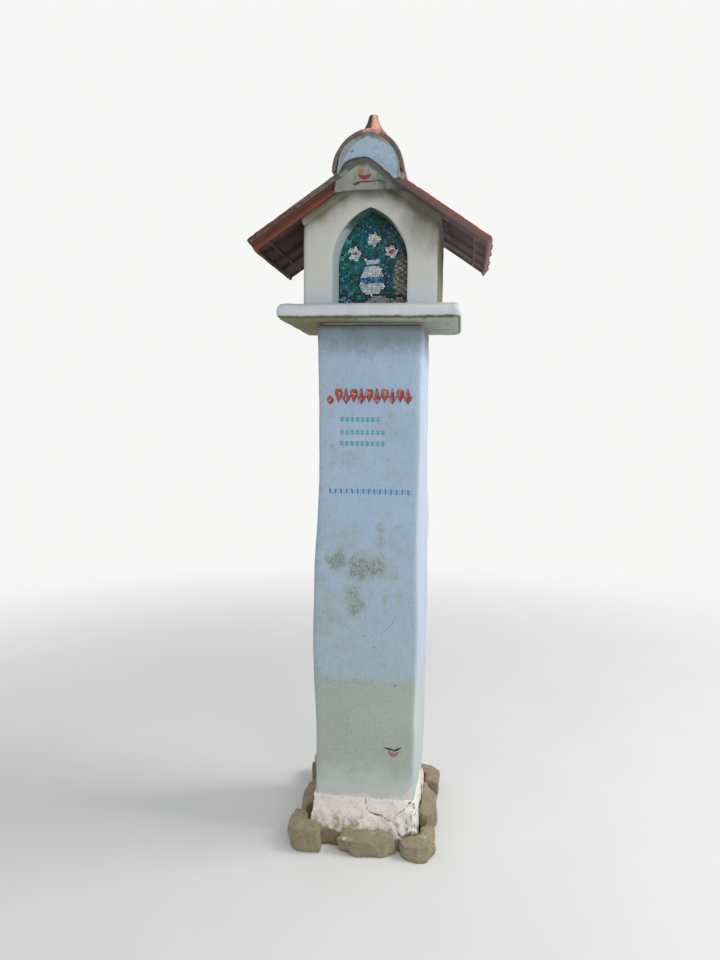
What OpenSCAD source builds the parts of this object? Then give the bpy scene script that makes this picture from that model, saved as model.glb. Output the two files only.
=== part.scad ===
// Wayside shrine: a rendered brick pillar on a fieldstone footing. It carries a cast slab and a small
// house with a pointed niche, roofed with pressed interlocking clay tiles under two ridge tiles.
// Millimetres, +Z up, the front faces -Y, origin on the ground in the middle of the shrine.

/* [Footing] */
// Height of the mortar mound, from the ground to the pillar's foot
footing_h = 130; // [100:5:220]
// Half width of the mound where it meets the ground
footing_half_w = 184; // [180:1:230]
// Half depth of the mound where it meets the ground
footing_half_d = 222; // [190:1:230]
// How far the mound's top stands out past the pillar
footing_lip = 5; // [2:1:12]
// How far the fieldstones reach out from the mound
stone_reach = 46; // [30:1:48]
// Height of the tallest fieldstone
stone_h = 88; // [60:1:110]
// Gap between neighbouring fieldstones
stone_gap = 5; // [2:1:12]
// Radius of the stone ring's corners in plan
stone_ring_r = 50; // [40:1:120]

/* [Pillar] */
// Width of the pillar: one brick and its render
pillar_w = 320; // [280:1:360]
// Depth of the pillar, front to back
pillar_d = 320; // [280:1:360]
// Height of the pillar, from the footing to the slab's mortar bed
pillar_h = 1487; // [1200:5:1800]
// Radius of the pillar's soft corners
pillar_corner_r = 16; // [6:1:30]
// Height of the offset in the render, measured up from the pillar's foot
offset_z = 810; // [400:5:1000]
// How far the lower part is set to the left of the upper part
offset_x = 8; // [0:1:14]
// Height over which the render takes up the offset
offset_run = 240; // [100:5:300]

/* [Slab] */
// Width of the cast slab
slab_w = 555; // [480:1:620]
// Depth of the cast slab
slab_d = 450; // [400:1:520]
// Thickness of the cast slab and its rounded nose
slab_t = 50.5; // [40:0.5:60]
// Thickness of the mortar bed between pillar and slab
slab_bed_t = 8; // [4:1:15]
// How far the mortar bed stays back from the pillar's faces
slab_bed_inset = 3; // [1:1:10]
// Radius of the slab's corners in plan
slab_corner_r = 22; // [10:1:40]
// How far the slab is set to the left of the middle
slab_side = 4; // [0:1:8]

/* [House] */
// Width of the house
house_w = 410; // [370:1:430]
// Depth of the house, front to back
house_d = 348; // [320:1:380]
// Height of the side walls, from the slab to the mortar under the tiles
side_wall_h = 236.5; // [200:0.5:270]
// Radius of the house's soft corners
house_corner_r = 14; // [6:1:24]
// Depth of the niche
niche_depth = 75; // [50:1:110]
// Width of the niche
niche_w = 224; // [180:1:230]
// Height of the niche's straight jambs
niche_jamb_h = 126.5; // [90:0.5:150]
// How far the niche is set to the left of the middle
niche_side = 3; // [0:1:8]
// Distance of each arch centre from the middle of the niche
arch_offset = 55; // [30:1:80]
// Thickness of the mosaic panel at the back of the niche
panel_t = 8; // [5:1:15]

/* [Roof tiles] */
// Pitch of the roof in degrees
pitch = 34; // [28:1:38]
// Length of a roof tile
tile_l = 412; // [380:1:430]
// Width of a roof tile that is left showing beside its neighbour
tile_cover = 230; // [215:1:240]
// Thickness of the tile's pan
tile_t = 12; // [10:0.5:14]
// Width of the lock on each side edge of a tile
lock_w = 38; // [36:1:42]
// Gap between the parts of two tiles that lock into each other
lock_gap = 0.5; // [0.3:0.1:1]
// Height of the two water bars on the lower half of a lock, above the underside of the pan
bar_top = 13.5; // [10:0.5:16]
// Thickness of the lip that covers the water bars
lip_t = 8; // [7:0.5:12]
// Height of the roll down the middle of a tile, above its pan
roll_h = 8; // [4:1:10]
// Width of the roll's flat top
roll_w = 32; // [20:1:44]
// Depth of the ribs round a tile's underside
rib_h = 8; // [5:1:12]
// Width of the ribs on a tile's underside
rib_w = 10; // [8:1:14]
// Distance of the cross rib from the tile's tail
cross_rib_u = 55; // [40:1:110]
// Depth of the drip edge under a tile's tail
drip_h = 14; // [8:1:18]
// Distance of each tile's head from the ridge line, along the slope
head_gap = 10; // [8:1:20]
// Radius of the corners at a tile's tail
tail_corner_r = 15; // [8:1:18]
// Thickness of the mortar between the wall and the ribs of the tiles
tile_bed_t = 9; // [4:1:14]
// How far the tile mortar is squeezed out past the wall
bed_squeeze = 8; // [3:1:14]

/* [Ridge] */
// Half width of a ridge tile
ridge_half_w = 103; // [95:1:115]
// Thickness of a ridge tile
ridge_t = 12; // [9:1:15]
// How far the two arcs of its arch have their centres past the middle
ridge_arch_offset = 14; // [4:1:24]
// Height of the ridge tile's straight edges
ridge_leg_h = 2; // [1:1:20]
// How far the ridge runs out past the roof tiles at front and back
ridge_overhang = 21; // [18:1:30]
// Length of the rebate that the front ridge tile laps over
ridge_lap = 42; // [25:1:60]
// Height of the nub above the ridge
nub_h = 56; // [40:1:75]
// Width of the nub's top
nub_top_w = 20; // [14:1:28]
// Radius of the nub's hollow flanks
nub_flare_r = 70; // [50:1:76]
// Lean of the nub's skirt from the upright, in degrees
nub_skirt = 40; // [35:1:45]
// Distance of each nub from its end of the ridge
nub_setback = 60; // [40:1:90]
// How far the nubs stand to the right of the ridge line
nub_side = 7; // [0:1:10]
// Thickness of the mortar between roof tiles and ridge tiles, over the locks
ridge_bed_t = 2; // [1:0.5:8]
// How far that mortar stays back from the outer face of the ridge tiles
ridge_bed_inset = 3; // [1:1:8]

/* [Gable mortar] */
// Height of the gable band's lower edge above the arch of the niche
band_rise = 30; // [26:1:50]
// Half width of the gable band
band_half_w = 106; // [95:1:120]
// How much the band's lower edge falls from its middle to its ends
band_sag = 13; // [6:1:24]
// Lean of the band's ends from the upright, in degrees
band_end_lean = 12; // [0:1:20]
// How far the middle of the band stands in front of the tiles
band_proud = 8; // [5:1:10]
// How far the ends of the band stand in front of the tiles
band_edge_t = 2; // [1.5:0.5:4]
// How far the mortar in the ridge tile's end stays back from its rim
infill_setback = 2; // [1:1:6]
// Height of the hollow arch under the ridge tile's infill
infill_arch_h = 42; // [30:1:52]
// Half width of the hollow arch under the ridge tile's infill
infill_arch_half_w = 88; // [75:1:95]
// How far the hollow arch sits to the left of the middle
infill_arch_side = 15; // [0:1:20]

/* [Hidden] */
$fn = 48;
seat = 0.3;
far = 2000;
lime = "#dfe6ea";
plaster = "#e9e6da";
clay = "#a8452c";
mortar = "#b9b8ae";
fieldstone = "#a39a8c";

// Heights of the courses, from the ground up
pillar_top = footing_h + pillar_h;
slab_z = pillar_top + slab_bed_t;
house_z = slab_z + slab_t;
spring_z = house_z + niche_jamb_h;
arch_r = niche_w / 2 + arch_offset;
apex_z = spring_z + sqrt(arch_r * arch_r - arch_offset * arch_offset);

// The roof's lines. In a tile's section x runs across the tile and y is the height above the plane
// that the ribs would leave the pan's underside at; that plane crosses the ridge line at roof_z.
wall_front = house_d / 2;
bed_floor = -rib_h - tile_bed_t;
pan_low = 0;
pan_top = pan_low + tile_t;
wall_top_z = house_z + side_wall_h;
wall_peak_z = wall_top_z + house_w / 2 * tan(pitch);
roof_z = wall_peak_z + (seat - bed_floor) / cos(pitch);
tile_w = tile_cover + lock_w;
roof_half_d = (tile_cover + tile_w) / 2;

// How much longer and deeper than the stone the boxes are that round off a fieldstone
block_long = 1.12;
block_deep = 1.3;

// The side locks: a low plate with two water bars, and a raised lip that covers them and reaches down
// between and behind the bars with two fins
lock_plate_t = 5;
bar_w = 6;
bar_x = 1;
bar_pitch = 18;
fin_gap = 4;
fin_low = lock_plate_t + lock_gap;
fin_x = bar_x + bar_w + fin_gap;
lip_low = bar_top + lock_gap;
lip_top = lip_low + lip_t;
lip_round = 3;
fold = 1;
roll_flank = 8;
roll_x = (lock_w + tile_cover) / 2;

// Width of the cross rib under a tile
cross_rib_w = 8;

// The ridge
ridge_r = ridge_half_w + ridge_arch_offset;
ridge_seat_z = roof_z + (lip_top + ridge_bed_t) / cos(pitch);
ridge_leg_z = ridge_seat_z - ridge_half_w * tan(pitch);
ridge_spring_z = ridge_leg_z + ridge_leg_h;
ridge_rise = sqrt(ridge_r * ridge_r - ridge_arch_offset * ridge_arch_offset);
ridge_top_z = ridge_spring_z + ridge_rise;
ridge_half_l = roof_half_d + ridge_overhang;
// How far the nub's skirt runs on below its straight part, down to the ridge's flanks
nub_root = 31;
band_z = apex_z + band_rise;

// A rectangle in plan with round corners, centred
module rounded(w, d, r) {
    square([w - 2 * r, d], center = true);
    square([w, d - 2 * r], center = true);
    for (x = [-1, 1], y = [-1, 1])
        translate([x * (w / 2 - r), y * (d / 2 - r)]) circle(r);
}

// Turns a front outline into a solid that runs along Y between two depths
module from_front(y0, y1) {
    translate([0, y1, 0]) rotate([90, 0, 0]) linear_extrude(y1 - y0) children();
}

// A pointed opening of two arcs, with its foot on y = 0, for half width h, jamb j and centres at e
module pointed_outline(h, j, e) {
    r = h + e;
    if (j > 0) translate([-h, 0]) square([2 * h, j + seat]);
    translate([0, j]) intersection() {
        translate([-e, 0]) circle(r, $fn = 96);
        translate([e, 0]) circle(r, $fn = 96);
        translate([-h, 0]) square([2 * h, r]);
    }
}

// Footing: the mortar mound, with straight battered sides
module mound_side(top, low) {
    from_front(-far, far) polygon([[-low, 0], [low, 0], [top, footing_h], [-top, footing_h]]);
}

module mound_solid(grow) {
    lip = footing_lip + grow;
    intersection() {
        mound_side(pillar_w / 2 + lip, footing_half_w + grow);
        rotate([0, 0, 90]) mound_side(pillar_d / 2 + lip, footing_half_d + grow);
    }
}

module footing() {
    color(lime) mound_solid(0);
}

// A rough block: three boxes turned against each other keep what they have in common
module rough_block(l, d, h, turn) {
    intersection() {
        rotate([4, -5, turn]) cube([l, d, 2 * h], center = true);
        rotate([-7, 6, turn + 24]) cube([l * block_long, d * block_deep, 2 * h], center = true);
        rotate([11, 9, turn - 31]) cube([l * block_long, d * block_deep, 2 * h], center = true);
        translate([-far / 2, -far / 2, 0]) cube(far);
    }
}

// Where the mound's lower edge lies in the direction of an angle, measured from +X towards +Y
function mound_edge(angle) = [cos(angle), sin(angle)]
    / max(abs(cos(angle)) / footing_half_w, abs(sin(angle)) / footing_half_d);

// The ring of stones, and the share of it between two angles
module ring_share(from, to) {
    intersection() {
        rotate(from) translate([0, stone_gap / 2]) square(far);
        rotate(to) translate([0, -far - stone_gap / 2]) square(far);
        rounded(2 * (footing_half_w + stone_reach), 2 * (footing_half_d + stone_reach), stone_ring_r);
    }
}

// A fieldstone between two angles of the ring, cut to the mortar it lies in
module foot_stone(from, to, h, turn) {
    place = mound_edge((from + to) / 2);
    run = mound_edge(to) - mound_edge(from);
    color(fieldstone) difference() {
        intersection() {
            translate([place[0], place[1], 0])
                rough_block(norm(run) * block_long, 2 * stone_reach, h, atan2(run[1], run[0]) + turn);
            linear_extrude(far) ring_share(from, to);
        }
        mound_solid(seat);
    }
}

// Pillar: two rendered lengths, a little out of line, and the stretch that joins them
module pillar_section(x) {
    translate([x, 0]) rounded(pillar_w, pillar_d, pillar_corner_r);
}

module pillar() {
    low = offset_z - offset_run / 2;
    high = offset_z + offset_run / 2;
    color(lime) translate([0, 0, footing_h]) {
        linear_extrude(low) pillar_section(-offset_x / 2);
        hull() {
            translate([0, 0, low]) linear_extrude(0.01) pillar_section(-offset_x / 2);
            translate([0, 0, high - 0.01]) linear_extrude(0.01) pillar_section(offset_x / 2);
        }
        translate([0, 0, high]) linear_extrude(pillar_h - high) pillar_section(offset_x / 2);
    }
}

module slab_bed() {
    inset = 2 * slab_bed_inset;
    color(mortar) translate([offset_x / 2, 0, pillar_top]) linear_extrude(slab_bed_t)
        rounded(pillar_w - inset, pillar_d - inset, pillar_corner_r);
}

// Slab: a cast plate with a half-round nose on all four edges
module nosed_strip(w) {
    square([w - slab_t, slab_t], center = true);
    for (x = [-1, 1]) translate([x * (w - slab_t) / 2, 0]) circle(slab_t / 2);
}

module slab() {
    color(lime) translate([-slab_side, 0, slab_z + slab_t / 2]) intersection() {
        from_front(-slab_d / 2, slab_d / 2) nosed_strip(slab_w);
        rotate([0, 0, 90]) from_front(-slab_w / 2, slab_w / 2) nosed_strip(slab_d);
        translate([0, 0, -slab_t]) linear_extrude(2 * slab_t) rounded(slab_w, slab_d, slab_corner_r);
    }
}

// House: the gabled outline, cut to the rounded plan
module gable_outline() {
    h = house_w / 2;
    polygon([[-h, house_z], [h, house_z], [h, wall_top_z], [0, wall_peak_z], [-h, wall_top_z]]);
}

module house_part(y0, y1) {
    intersection() {
        from_front(y0, y1) intersection() {
            gable_outline();
            children();
        }
        linear_extrude(far * 2) rounded(house_w, house_d, house_corner_r);
    }
}

module house_core() {
    color(plaster) house_part(niche_depth - wall_front, wall_front)
        translate([-far / 2, 0]) square([far, far * 2]);
}

module jamb(side) {
    x0 = niche_w / 2;
    color(plaster) house_part(-wall_front, niche_depth - wall_front)
        translate([-niche_side, 0]) mirror([side < 0 ? 1 : 0, 0])
            translate([x0, house_z]) square([far, niche_jamb_h]);
}

module left_jamb() { jamb(-1); }

module right_jamb() { jamb(1); }

module arch_gable() {
    color(plaster) house_part(-wall_front, niche_depth - wall_front) difference() {
        translate([-far / 2, spring_z]) square(far);
        translate([-niche_side, spring_z]) pointed_outline(niche_w / 2, 0, arch_offset);
    }
}

// Mosaic panel: a pointed plate that stands on the slab against the back of the niche
module mosaic_panel() {
    y0 = niche_depth - wall_front - seat - panel_t;
    color("#4f9a95") from_front(y0, y0 + panel_t) translate([-niche_side, house_z + seat])
        pointed_outline(niche_w / 2 - seat, niche_jamb_h - seat, arch_offset);
}

// Roof tile, in section: the top from its left edge to its right, then the underside back again
function bar(x) = [[x, lock_plate_t], [x + fold, bar_top], [x + bar_w - fold, bar_top],
    [x + bar_w, lock_plate_t]];

function tile_top_line() = concat([[0, lock_plate_t]], bar(bar_x), bar(bar_x + bar_pitch),
    [[lock_w + fold, lock_plate_t], [lock_w + 2 * fold, pan_top],
     [roll_x - roll_w / 2 - roll_flank, pan_top], [roll_x - roll_w / 2, pan_top + roll_h],
     [roll_x + roll_w / 2, pan_top + roll_h], [roll_x + roll_w / 2 + roll_flank, pan_top],
     [tile_cover - roll_flank, pan_top], [tile_cover + 2 * fold, lip_top],
     [tile_w - lip_round, lip_top], [tile_w, lip_top - lip_round]]);

// A fin under the lip, from its left to its right side
function fin(x, w) = [[x, lip_low], [x + fold, fin_low], [x + w, fin_low]];

function tile_low_line() = concat(
    [[0, -rib_h], [rib_w, -rib_h], [rib_w + fold, pan_low],
     [roll_x - roll_w / 2 - roll_flank, pan_low], [roll_x - roll_w / 2 + fold, pan_low + roll_h],
     [roll_x + roll_w / 2 - fold, pan_low + roll_h], [roll_x + roll_w / 2 + roll_flank, pan_low],
     [tile_cover - rib_w - fold, pan_low], [tile_cover - rib_w, -rib_h],
     [tile_cover - lock_gap, -rib_h], [tile_cover - lock_gap, lip_low]],
    fin(tile_cover + fin_x, bar_pitch - bar_w - 2 * fin_gap),
    [[tile_cover + bar_x + bar_pitch - fin_gap + fold, lip_low]],
    fin(tile_cover + fin_x + bar_pitch, lock_w - fin_x - bar_pitch));

function flip(line) = [for (i = [len(line) - 1:-1:0]) line[i]];

// Sets a child drawn across and above a slope, with its length down the slope, on the left slope
module on_left_slope() {
    translate([0, 0, roof_z]) rotate([0, -pitch, 0]) rotate([0, 0, -90]) rotate([90, 0, 0])
        children();
}

module on_slope(side) {
    rotate([0, 0, side < 0 ? 0 : 180]) on_left_slope() children();
}

// Where the left edge of a tile lies, seen from outside, for the right (0) or the left (1) tile
function tile_x(place) = place == 0 ? roof_half_d - tile_w : -roof_half_d;

module tile_plan() {
    translate([0, head_gap]) {
        square([tile_w, tile_l - tail_corner_r]);
        translate([tail_corner_r, 0]) square([tile_w - 2 * tail_corner_r, tile_l]);
        for (x = [tail_corner_r, tile_w - tail_corner_r])
            translate([x, tile_l - tail_corner_r]) circle(tail_corner_r);
    }
}

module under_rib(u, w, h) {
    translate([rib_w / 2, -h, u]) cube([tile_cover - rib_w, h + pan_low + fold, w]);
}

module roof_tile(side, place) {
    color(clay) on_slope(side) translate([tile_x(place), 0, 0]) intersection() {
        union() {
            translate([0, 0, head_gap]) linear_extrude(tile_l)
                polygon(concat(tile_top_line(), flip(tile_low_line())));
            under_rib(head_gap + tile_l - rib_w, rib_w, drip_h);
            under_rib(head_gap + tile_l - cross_rib_u, cross_rib_w, rib_h);
        }
        translate([0, far / 2, 0]) rotate([90, 0, 0]) linear_extrude(far) tile_plan();
    }
}

module tile_front_left() { roof_tile(-1, 0); }

module tile_back_left() { roof_tile(-1, 1); }

module tile_front_right() { roof_tile(1, 1); }

module tile_back_right() { roof_tile(1, 0); }

// What is left of a section that lies over (side 1) or under (side -1) both tiles of a slope, when
// mortar pressed against them has taken their shape
module pressed_to_tiles(side) {
    line = side > 0 ? tile_top_line() : tile_low_line();
    difference() {
        children();
        for (place = [0, 1]) translate([tile_x(place), side * seat])
            polygon(concat(line, [[tile_w, -side * far], [0, -side * far]]));
    }
}

// Mortar on the sloping wall top, pressed into the underside of the tiles
module tile_bed(side) {
    half = wall_front + bed_squeeze;
    run = (house_w / 2 + bed_squeeze) / cos(pitch);
    color(mortar) intersection() {
        on_slope(side) linear_extrude(run) pressed_to_tiles(-1)
            translate([-half, bed_floor]) square([2 * half, pan_low + roll_h - bed_floor]);
        translate([side < 0 ? -far - seat / 2 : seat / 2, -far / 2, 0]) cube([far, far, far * 2]);
    }
}

module tile_bed_left() { tile_bed(-1); }

module tile_bed_right() { tile_bed(1); }

// Ridge: an arched shell of two arcs with short straight edges
module ridge_outline(inset) {
    translate([0, ridge_leg_z])
        pointed_outline(ridge_half_w - inset, ridge_leg_h, ridge_arch_offset);
}

// What lies under the mortar that the ridge is bedded on: a wedge with its edge under the crest
module under_ridge() {
    reach = 2 * ridge_half_w;
    low = ridge_seat_z - reach * tan(pitch);
    polygon([[0, ridge_seat_z], [reach, low], [-reach, low]]);
}

// The shell's lower edges are cut to the slope of the roof
module ridge_shell(outer, inner) {
    difference() {
        ridge_outline(outer);
        translate([0, -seat]) ridge_outline(inner);
        under_ridge();
    }
}

// The nub: a turned horn with a flat top and hollow flanks that end in a straight skirt
module nub_profile() {
    skirt_r = nub_top_w / 2 + nub_flare_r * (1 - cos(nub_skirt));
    skirt_z = nub_h - nub_flare_r * sin(nub_skirt);
    foot = skirt_z + nub_root;
    difference() {
        translate([0, skirt_z]) square([skirt_r, nub_h - skirt_z]);
        translate([nub_top_w / 2 + nub_flare_r, nub_h]) circle(nub_flare_r, $fn = 96);
    }
    polygon([[0, skirt_z], [skirt_r, skirt_z], [skirt_r + foot * tan(nub_skirt), skirt_z - foot],
        [0, skirt_z - foot]]);
}

module nub(y) {
    difference() {
        translate([nub_side, y, ridge_top_z]) rotate_extrude() nub_profile();
        from_front(-far, far) ridge_outline(ridge_t / 2);
    }
}

module ridge_tile(side) {
    color(clay) union() {
        if (side < 0) from_front(-ridge_half_l, 0) ridge_shell(0, ridge_t);
        else {
            from_front(seat, ridge_half_l) ridge_shell(0, ridge_t);
            from_front(seat, ridge_lap) ridge_shell(ridge_t / 2, 2 * ridge_t);
            from_front(-ridge_lap, ridge_lap) ridge_shell(ridge_t + seat, 2 * ridge_t);
        }
        nub(side * (ridge_half_l - nub_setback));
    }
}

module ridge_tile_front() { ridge_tile(-1); }

module ridge_tile_back() { ridge_tile(1); }

// Mortar under each edge of the ridge, pressed into the top of the roof tiles
module ridge_bed(side) {
    inner = ridge_half_w - 2 * ridge_t;
    outer = ridge_half_w - ridge_bed_inset;
    color(mortar) intersection() {
        on_slope(side) linear_extrude(2 * ridge_half_w) pressed_to_tiles(1)
            translate([-roof_half_d, lock_plate_t])
                square([2 * roof_half_d, lip_top + ridge_bed_t - seat - lock_plate_t]);
        from_front(-far, far) mirror([side < 0 ? 1 : 0, 0])
            translate([inner, 0]) square([outer - inner, far * 2]);
    }
}

module ridge_bed_left() { ridge_bed(-1); }

module ridge_bed_right() { ridge_bed(1); }

// A circular arch with its ends at half width h and its crown at height z, open below
module arch_below(h, rise, z) {
    r = (h * h + rise * rise) / (2 * rise);
    translate([0, z - r]) circle(r, $fn = 96);
}

// The front of the gable band, in plan: it thins towards its ends
module band_belly(grow) {
    thick = -roof_half_d - band_proud - grow;
    thin = -roof_half_d - band_edge_t - grow;
    polygon([[-band_half_w, thin], [-band_half_w / 2, thick], [band_half_w / 2, thick],
        [band_half_w, thin], [band_half_w, 0], [-band_half_w, 0]]);
}

// Mortar in the open end of a ridge tile, hollow below
module ridge_infill(side) {
    color(lime) rotate([0, 0, side < 0 ? 0 : 180]) intersection() {
        from_front(infill_setback - ridge_half_l, -roof_half_d - seat) difference() {
            intersection() {
                ridge_outline(ridge_t + seat);
                translate([-far / 2, ridge_leg_z]) square(far);
            }
            translate([-infill_arch_side, 0])
                arch_below(infill_arch_half_w, infill_arch_h, ridge_leg_z + infill_arch_h);
        }
        linear_extrude(far * 2) difference() {
            translate([-ridge_half_w, -ridge_half_l]) square([2 * ridge_half_w, ridge_half_l]);
            band_belly(seat);
        }
    }
}

module ridge_infill_front() { ridge_infill(-1); }

module ridge_infill_back() { ridge_infill(1); }

// What lies over the gently arched lower edge of the gable band, between its two leaning ends
module band_outline() {
    low = band_z - band_sag;
    rise = ridge_top_z - low;
    narrow = band_half_w - rise * tan(band_end_lean);
    difference() {
        polygon([[-band_half_w, low], [band_half_w, low], [narrow, low + rise], [-narrow, low + rise]]);
        arch_below(band_half_w, band_sag, band_z);
    }
}

// The face of the band: it covers the ends of the tiles and runs up into the ridge tile
module band_face() {
    peak = roof_z + lip_top / cos(pitch);
    fall = band_half_w * tan(pitch);
    intersection() {
        band_outline();
        union() {
            polygon([[-band_half_w, 0], [band_half_w, 0], [band_half_w, peak - fall], [0, peak],
                [-band_half_w, peak - fall]]);
            translate([0, ridge_leg_z]) intersection() {
                translate([0, -ridge_leg_z]) ridge_outline(ridge_t + seat);
                translate([-far / 2, 0]) square(far);
            }
        }
    }
}

// The rest of the band: it fills the space between the wall and its face, under the tiles
module band_block() {
    depth = roof_half_d - wall_front - bed_squeeze;
    for (side = [-1, 1]) intersection() {
        on_slope(side) translate([0, 0, -far / 4]) linear_extrude(far / 2) pressed_to_tiles(-1)
            translate([-far / 2, -far / 2]) square([far, far / 2 + pan_low + roll_h]);
        from_front(-roof_half_d - seat, -roof_half_d - seat + depth) intersection() {
            band_outline();
            translate([side < 0 ? -far : 0, 0]) square([far, far * 2]);
        }
    }
}

// Plaster band that closes the gable between the tiles
module gable_band(side) {
    color(plaster) rotate([0, 0, side < 0 ? 0 : 180]) union() {
        intersection() {
            from_front(-roof_half_d - band_proud - seat, -roof_half_d - seat) band_face();
            linear_extrude(far * 2) band_belly(0);
        }
        band_block();
    }
}

module gable_band_front() { gable_band(-1); }

module gable_band_back() { gable_band(1); }

footing();
foot_stone(-107, -64, stone_h * 0.65, 4);  // foot_stone_front
foot_stone(-152, -107, stone_h * 0.85, -5);  // foot_stone_front_left
foot_stone(-64, -32, stone_h * 0.6, 6);  // foot_stone_front_right
foot_stone(151, 208, stone_h * 0.75, -3);  // foot_stone_left
foot_stone(-32, 27, stone_h * 0.9, 4);  // foot_stone_right
foot_stone(112, 151, stone_h, -6);  // foot_stone_back_left
foot_stone(27, 70, stone_h * 0.7, 5);  // foot_stone_back_right
foot_stone(70, 112, stone_h * 0.8, -4);  // foot_stone_back
pillar();
slab_bed();
slab();
house_core();
left_jamb();
right_jamb();
arch_gable();
mosaic_panel();
tile_bed_left();
tile_bed_right();
tile_front_left();
tile_back_left();
tile_front_right();
tile_back_right();
ridge_bed_left();
ridge_bed_right();
ridge_tile_front();
ridge_tile_back();
ridge_infill_front();
ridge_infill_back();
gable_band_front();
gable_band_back();
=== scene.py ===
# Wayside shrine: a rendered pillar on a limewashed mound, a cast slab, a small niche house
# and a roof of pressed clay tiles. The sections go from the ground up, all sizes in metres.
import math

import bpy
import numpy as np
from mathutils import Matrix, Quaternion, Vector
from mathutils.bvhtree import BVHTree


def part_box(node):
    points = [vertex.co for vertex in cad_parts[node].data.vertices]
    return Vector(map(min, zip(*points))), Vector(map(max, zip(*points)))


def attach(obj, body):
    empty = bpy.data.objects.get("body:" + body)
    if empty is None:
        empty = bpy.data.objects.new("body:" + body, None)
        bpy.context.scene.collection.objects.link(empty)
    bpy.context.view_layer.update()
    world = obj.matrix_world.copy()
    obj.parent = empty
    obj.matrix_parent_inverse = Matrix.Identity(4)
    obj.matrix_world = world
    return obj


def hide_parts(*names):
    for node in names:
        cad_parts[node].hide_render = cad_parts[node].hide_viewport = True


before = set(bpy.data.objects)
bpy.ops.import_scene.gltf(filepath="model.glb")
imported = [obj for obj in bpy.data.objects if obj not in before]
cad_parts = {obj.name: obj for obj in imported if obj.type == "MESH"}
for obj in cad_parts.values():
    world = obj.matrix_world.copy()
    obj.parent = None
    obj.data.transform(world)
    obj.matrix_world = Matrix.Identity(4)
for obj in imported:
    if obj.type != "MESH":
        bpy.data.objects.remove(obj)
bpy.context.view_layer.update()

scene = bpy.context.scene
scene.view_settings.view_transform = "Standard"

# CAMERA
# It stands 2.4 m in front of the shrine at chest height, a step to the right of its middle,
# and looks a little to the left and down. The image is 960 pixels high.
focal_pixels = 735.8
image_pixels = 960
eye = Vector((0.2786, -2.3908, 1.3376))
yaw = math.radians(7.76)
tilt = math.radians(-4.84)
roll = math.radians(0.73)
look = Vector((-math.sin(yaw) * math.cos(tilt), math.cos(yaw) * math.cos(tilt), math.sin(tilt)))
camera = bpy.data.objects.new("camera", bpy.data.cameras.new("camera"))
camera.data.lens = focal_pixels * camera.data.sensor_width / image_pixels
camera.location = eye
camera.rotation_mode = "QUATERNION"
camera.rotation_quaternion = look.to_track_quat("-Z", "Y") @ Quaternion((0, 0, 1), roll)
scene.collection.objects.link(camera)
scene.camera = camera


# STUDIO
# A pale floor that fades to white, an even white sky, one large lamp high on the right for
# the lit side, and a weaker one in front that fills the shade.
def paint(colour):
    """Turns an sRGB hex colour into the linear values that a shader takes."""
    parts = [int(colour[i:i + 2], 16) / 255 for i in (1, 3, 5)]
    linear = [c / 12.92 if c <= 0.04045 else ((c + 0.055) / 1.055) ** 2.4 for c in parts]
    return (*linear, 1.0)


def nodes_of(owner):
    """Empties a material or world and gives the function that adds a node to it."""
    owner.use_nodes = True
    tree = owner.node_tree
    tree.nodes.clear()

    def add(kind, inputs=None, out=0, **settings):
        """Adds one node: a socket is linked, a plain value is set. Gives one of its outputs."""
        node = tree.nodes.new(kind)
        for name, value in settings.items():
            setattr(node, name, value)
        for name, value in (inputs or {}).items():
            if isinstance(value, bpy.types.NodeSocket):
                tree.links.new(value, node.inputs[name])
            else:
                node.inputs[name].default_value = value
        return node.outputs[out] if node.outputs else None

    return add


def lamp(name, place, aim, size, watts):
    """Hangs a square lamp that shines at a point."""
    light = bpy.data.objects.new(name, bpy.data.lights.new(name, "AREA"))
    light.data.size = size
    light.data.energy = watts
    light.location = place
    light.rotation_mode = "QUATERNION"
    light.rotation_quaternion = (Vector(aim) - Vector(place)).to_track_quat("-Z", "Y")
    scene.collection.objects.link(light)


lamp("sun_side_lamp", (3.2, 0.35, 3.6), (0, 0, 1.2), 1.8, 105)
lamp("front_fill_lamp", (1.9, -3.5, 2.7), (0, 0, 1.2), 2.4, 36)

sky = bpy.data.worlds.new("studio_sky")
scene.world = sky
add = nodes_of(sky)
rays = add("ShaderNodeLightPath").node.outputs
seen = add("ShaderNodeMath", {0: rays["Is Camera Ray"], 1: rays["Is Glossy Ray"]}, operation="MAXIMUM")
soft_light = add("ShaderNodeBackground", {"Color": paint("#fafcff"), "Strength": 0.62})
backdrop = add("ShaderNodeBackground", {"Color": paint("#f7f7f6"), "Strength": 1.0})
blend = add("ShaderNodeMixShader", {0: seen, 1: soft_light, 2: backdrop})
add("ShaderNodeOutputWorld", {"Surface": blend})

floor_radius = 8.0
floor_sides = 96
corners = [
    (floor_radius * math.cos(turn), floor_radius * math.sin(turn), 0.0)
    for turn in np.linspace(0, 2 * math.pi, floor_sides, endpoint=False)
]
floor_mesh = bpy.data.meshes.new("floor")
floor_mesh.from_pydata(corners, [], [list(range(floor_sides))])
floor = bpy.data.objects.new("floor", floor_mesh)
scene.collection.objects.link(floor)
floor_finish = bpy.data.materials.new("pale_studio_floor")
add = nodes_of(floor_finish)
place = add("ShaderNodeTexCoord", out="Object")
reach = add("ShaderNodeVectorMath", {0: place}, out="Value", operation="LENGTH")
near_and_far = {"Value": reach, "From Min": 1.2, "From Max": 4.5}
fade = add("ShaderNodeMapRange", near_and_far, interpolation_type="SMOOTHSTEP")
direct = add("ShaderNodeLightPath", out="Is Camera Ray")
far = add("ShaderNodeMath", {0: fade, 1: direct}, operation="MULTIPLY")
grain = add("ShaderNodeTexNoise", {"Vector": place, "Scale": 3.0, "Detail": 2.0})
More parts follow.
